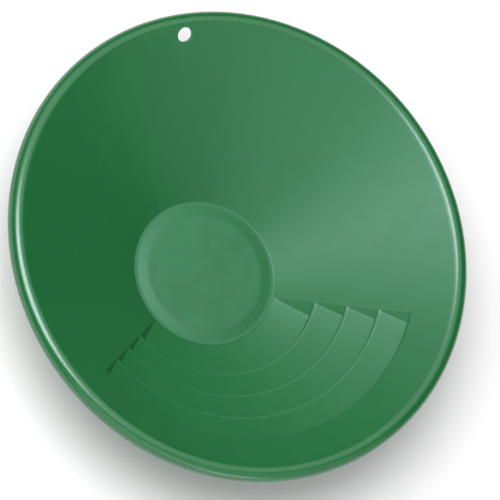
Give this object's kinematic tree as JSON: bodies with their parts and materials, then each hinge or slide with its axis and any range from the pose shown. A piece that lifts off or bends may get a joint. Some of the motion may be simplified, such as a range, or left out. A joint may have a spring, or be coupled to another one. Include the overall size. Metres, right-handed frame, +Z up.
{
  "type": "gold pan",
  "caption": "Round conical plastic pan with a rolled rim, a riffled stretch of wall that traps gold, a raised flat bottom and a hanging hole.",
  "frame": {"origin": "centre of the pan's underside, on the plane that it rests on", "axes": "+Z up out of the bowl, +Y through the middle of the riffles, hanging hole at -Y"},
  "size_m": [0.356, 0.356, 0.0866],
  "materials": {
    "pan_plastic": "moulded green polypropylene, satin sheen with a fine even grain"
  },
  "bodies": {
    "root": {"pan_shell": "pan_plastic"}
  },
  "joints": []
}
